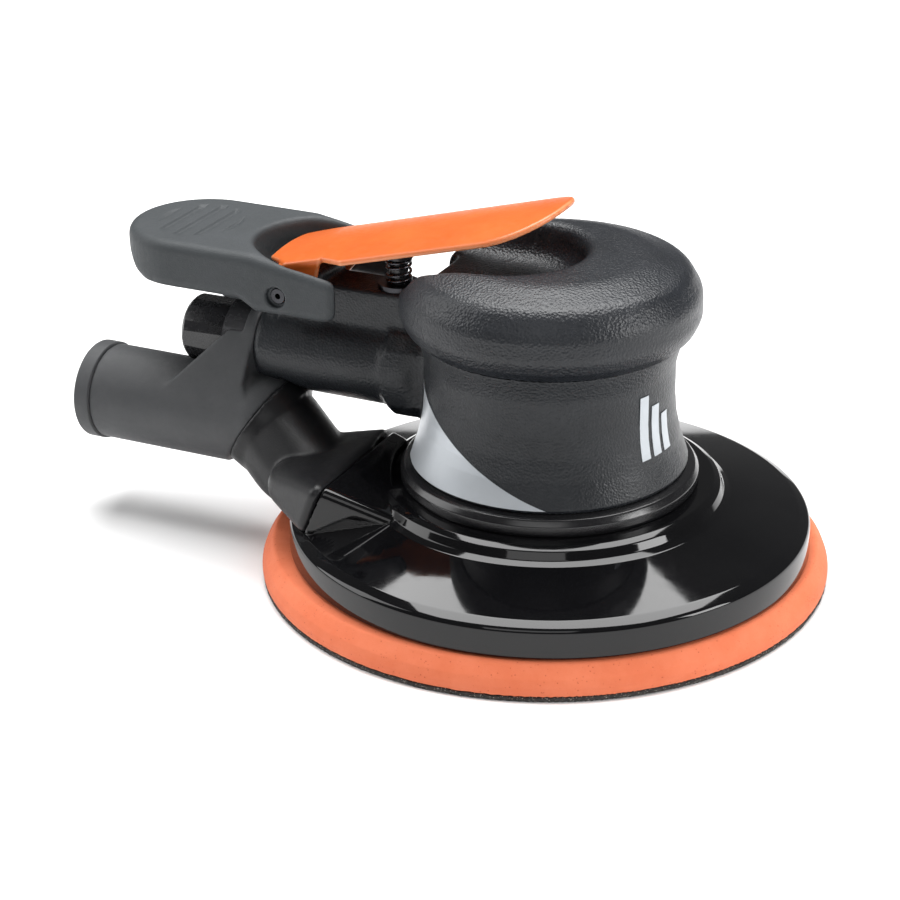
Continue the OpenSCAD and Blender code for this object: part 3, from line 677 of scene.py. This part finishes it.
lock_outline = rounded([(NECK_R, 27.5), (39.2, 27.5, 0.4), (39.5, 28.4, 0.5), (39.5, 30.4, 0.9),
                        (38.4, 32.0, 1.2), (35.8, 32.6, 1.5), (NECK_R, 32.6)])
place(revolve("locking_ring", lock_outline), "lock_ring")

# ---- pad -----------------------------------------------------------------------------

PAD_AT = (-2.0, 1.5)
PAD_R = 76.0
PAD_TOP = 9.1
HOOK_T = 1.4
HOLE_CIRCLE_R = 40
HOLE_R = 5.0
foam_outline = rounded([(0, HOOK_T), (PAD_R - 0.2, HOOK_T, 0.5), (PAD_R, 2.2, 0.8), (PAD_R, 3.6, 1.5),
                        (PAD_R - 0.9, 5.9, 3), (PAD_R - 3.2, PAD_TOP, 0.8), (0, PAD_TOP)])
holes = [(PAD_AT[0] + HOLE_CIRCLE_R * math.cos(math.radians(60 * i)),
          PAD_AT[1] + HOLE_CIRCLE_R * math.sin(math.radians(60 * i))) for i in range(6)]


def drilled(shape, p, soft):
    """The shape with the pad's dust holes through it."""
    for x, y in holes:
        shape = cut(shape, np.hypot(p[:, 0] - x, p[:, 1] - y) - HOLE_R, soft)
    return shape


def foam_shape(p):
    shape = drilled(lathe(p, foam_outline, PAD_AT), p, 0.6)
    return cut(shape, rod(p, (*PAD_AT, 6), (*PAD_AT, 20), 11, 0.4), 0.5)


low, high = corners("pad_foam")
foam_piece = sculpt("foam_pad", foam_shape, low - 1, high + 1, 0.8)
place(foam_piece, "pad_foam", "sanding_pad")


def hook_shape(p):
    disc = lathe(p, [(0, 0), (PAD_R - 0.2, 0), (PAD_R - 0.2, HOOK_T), (0, HOOK_T)], PAD_AT)
    return drilled(disc, p, 0.3)


low, high = corners("hook_face")
hook_piece = sculpt("hook_fabric", hook_shape, low - 1, high + 1, 0.7)
place(hook_piece, "hook_face", "sanding_pad")

# ---- wrist rest ----------------------------------------------------------------------

REST_TIP = corners("wrist_rest")[0][0]
REST_R = 20.3
REST_TOP = corners("wrist_rest")[1][2]
SLOT_R = 17.5
SLOT_X = -67
RIBS_X = -104
RIB_DEPTH = 0.6
RIB_PITCH = 5.5
rest_plan = [(-52, -REST_R), (-52, REST_R)] + arc((REST_TIP + REST_R, 0), REST_R, 90, 270, 32)
rest_side = rounded([(REST_TIP - 3, REST_TOP + 0.2), (REST_TIP - 3, 78.5), (REST_TIP + 2, 76, 3),
                     (REST_TIP + 7, 72, 5), (REST_TIP + 12, 70.6, 6), (-82, 70.6, 3), (-77, 67.6, 3),
                     (-52, 67.6, 5), (-52, 79.4, 4), (-78, REST_TOP, 12)])


def rest_shape(p):
    """The palm rest with its foot, the slot for the lever, grip ribs and the pin's bores."""
    shape = common(outline(p[:, :2], rest_plan), outline(p[:, [0, 2]], rest_side), 3.2)
    shape = weld(shape, block(p, (-96, -5.5, 64.05), (-77.1, 5.5, 73), 1.5), 2.5)
    end = np.hypot(p[:, 0] - SLOT_X, p[:, 1]) - SLOT_R
    way = np.maximum(np.abs(p[:, 1]) - SLOT_R, SLOT_X - p[:, 0])
    slot = weld(end, way, 0.5)
    shape = cut(shape, slot, 2.0)
    # grip ribs across the palm side
    crown = REST_TOP - p[:, 2]
    ribs = RIB_DEPTH * np.clip(1.4 * np.cos((p[:, 0] - RIBS_X) * 2 * math.pi / RIB_PITCH), 0, 1)
    field = np.clip(1.5 - np.hypot((p[:, 0] - RIBS_X) / 11.0, p[:, 1] / 12.5) ** 6, 0, 1)
    shape = shape + np.where(crown < 3, ribs * field, 0)
    shape = cut(shape, cross_rod(p, *PIN_AT, -30, 30, 2.05, 0.2), 0.3)
    for side in (-1, 1):
        shape = cut(shape, cross_rod(p, *PIN_AT, side * 18.8, side * 26, 2.8, 0.3), 0.8)
    return shape


low, high = corners("wrist_rest")
rest_piece = sculpt("wrist_rest_grip", rest_shape, low - 1, high + 1, 0.5)
place(rest_piece, "wrist_rest")

# ---- throttle lever ------------------------------------------------------------------

LEVER_SLOPE = math.atan(0.268)
LEVER_Z = 101.7
LEVER_W = 37.0
LEVER_T = 1.6
CROWN = 2.4
CROWN_R = ((LEVER_W / 2) ** 2 + CROWN ** 2) / (2 * CROWN)
TIP = 4.2 / math.cos(LEVER_SLOPE)
TAIL = -77 / math.cos(LEVER_SLOPE)
lever_frame = Matrix.Translation((0, 0, LEVER_Z)) @ Matrix.Rotation(-LEVER_SLOPE, 4, "Y")
TIP_R = 17.4
half = LEVER_W / 2
lever_plan = [(TAIL, -10), (TAIL + 7, -15.2), (-61, -15.4), (-54, -half),
              *arc((TIP - TIP_R, TIP_R - half), TIP_R, -90, 0, 12),
              *arc((TIP - TIP_R, half - TIP_R), TIP_R, 0, 90, 12),
              (-54, half), (-61, 15.4), (TAIL + 7, 15.2), (TAIL, 10)]
FLANGE_Y = 14.6
flange_side = rounded([(-4.5, 70.5, 1), (-2, 68.8, 1.5), (3, 68.8, 2.5), (9, 75.5, 2), (11, 83.5),
                       (-4.6, 79.3)])


def lever_shape(q):
    """In the lever's own frame, with X along it."""
    turn = np.array(lever_frame.to_3x3())
    p = q @ turn.T + np.array(lever_frame.translation)
    centre = np.hypot(q[:, 1], q[:, 2] + CROWN_R)
    sheet = np.abs(centre - CROWN_R + LEVER_T / 2) - LEVER_T / 2
    shape = common(outline(q[:, :2], lever_plan), np.where(q[:, 2] > -CROWN_R, sheet, 50.0), 0.9)
    for side in (-1, 1):
        y = side * FLANGE_Y
        flange = prism(p - np.array([PIN_AT[0], 0, 0]), flange_side, [0, 2], y - LEVER_T / 2,
                       y + LEVER_T / 2, 0.6)
        shape = weld(shape, flange, 1.2)
    return cut(shape, cross_rod(p, *PIN_AT, -30, 30, 2.04, 0.1), 0.2)


lever_piece = sculpt("throttle_paddle", lever_shape, (TAIL - 1, -half - 1, -18), (TIP + 1, half + 1, 1), 0.45,
                     lever_frame)
place(lever_piece, "throttle_lever", "lever")

# ---- hose line -----------------------------------------------------------------------

place(softened("dust_elbow", "vacuum_elbow", 0.55, 10), "vacuum_elbow")
place(softened("hose_manifold", "vacuum_manifold", 0.5, 6), "vacuum_manifold")

TUBE_END = corners("hose_collar")[0][0]
along_tube = Matrix.Translation((TUBE_END, *TUBE_AT)) @ Matrix.Rotation(math.radians(90), 4, "Y")
collar_outline = rounded([(11.2, 0, 0.5), (13.5, 0, 0.4), (13.8, 0.5, 0.3), (13.8, 4.5, 0.3), (13.4, 4.9),
                          (11.2, 4.9)])
place(revolve("collar_ring", collar_outline, 128, along_tube), "hose_collar")

# ---- valve spring --------------------------------------------------------------------

SPRING_R = 3.15
WIRE_R = 0.42
low, high = corners("valve_spring")
turns, wire_steps, steps_a_turn = 4.5, 12, 40
verts, faces = [], []
steps = int(turns * steps_a_turn)
for step in range(steps + 1):
    angle = 2 * math.pi * step / steps_a_turn
    share = step / steps
    # the end turns lie closer together
    eased = share - 0.09 * math.sin(2 * math.pi * share)
    height = low[2] + WIRE_R + (high[2] - low[2] - 2 * WIRE_R) * eased
    radial = Vector((math.cos(angle), math.sin(angle), 0))
    middle = Vector((VALVE_X, 0, height)) + radial * SPRING_R
    for k in range(wire_steps):
        turn = 2 * math.pi * k / wire_steps
        lift = Vector((0, 0, WIRE_R * math.sin(turn)))
        verts.append((middle + radial * WIRE_R * math.cos(turn) + lift) * MM)
    if step:
        base, last = step * wire_steps, (step - 1) * wire_steps
        for k in range(wire_steps):
            following = (k + 1) % wire_steps
            faces.append((last + k, base + k, base + following, last + following))
faces += [tuple(range(wire_steps)), tuple(reversed(range(steps * wire_steps, (steps + 1) * wire_steps)))]
spring_piece = new_object("valve_coil", verts, faces)
place(spring_piece, "valve_spring")
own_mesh(spring_piece)

# ---- floor, light and camera ---------------------------------------------------------

SPAN = 2.4
floor_mesh = bpy.data.meshes.new("studio_floor")
floor_corners = [(-SPAN, -SPAN, 0), (SPAN, -SPAN, 0), (SPAN, SPAN, 0), (-SPAN, SPAN, 0)]
floor_mesh.from_pydata(floor_corners, [], [(0, 1, 2, 3)])
floor = bpy.data.objects.new("studio_floor", floor_mesh)
scene.collection.objects.link(floor)
pale = surface("pale_floor", (0.90, 0.90, 0.90), (0.92, 0.92, 0.92), 0.7, 0.03, 300.0)
floor.data.materials.append(pale.material)

AIM = Vector((-0.0293, 0.0002, 0.0284))
AZIMUTH, ELEVATION, ROLL = math.radians(25.83), math.radians(24.41), math.radians(-0.62)
DISTANCE = 0.649
away = Vector((math.sin(AZIMUTH) * math.cos(ELEVATION), -math.cos(AZIMUTH) * math.cos(ELEVATION),
               math.sin(ELEVATION)))
camera_data = bpy.data.cameras.new("camera")
camera_data.lens = 96
camera_data.sensor_width = 36
camera_data.clip_start = 0.01
camera = bpy.data.objects.new("camera", camera_data)
scene.collection.objects.link(camera)
aimed = (-away).to_track_quat("-Z", "Y").to_matrix().to_4x4()
camera.matrix_world = Matrix.Translation(AIM + away * DISTANCE) @ aimed @ Matrix.Rotation(ROLL, 4, "Z")
scene.camera = camera


def softbox(name, at, size, power, target=(0, 0, 0.03)):
    """A rectangular studio light that faces the target."""
    data = bpy.data.lights.new(name, "AREA")
    data.shape = "RECTANGLE"
    data.size, data.size_y = size
    data.energy = power
    light = bpy.data.objects.new(name, data)
    scene.collection.objects.link(light)
    light.location = at
    light.rotation_euler = (Vector(target) - Vector(at)).to_track_quat("-Z", "Y").to_euler()


softbox("top_box", (-0.1, 0.35, 1.3), (1.3, 1.0), 36)
softbox("left_box", (-1.2, -0.35, 0.75), (0.8, 1.1), 10)
softbox("right_box", (1.25, 0.05, 0.5), (0.45, 0.6), 10)
softbox("front_box", (0.35, -1.3, 1.0), (1.0, 0.7), 4)
world = bpy.data.worlds.new("studio")
world.use_nodes = True
world.node_tree.nodes["Background"].inputs["Color"].default_value = (1, 1, 1, 1)
world.node_tree.nodes["Background"].inputs["Strength"].default_value = 0.12
scene.world = world
scene.view_settings.view_transform = "Standard"
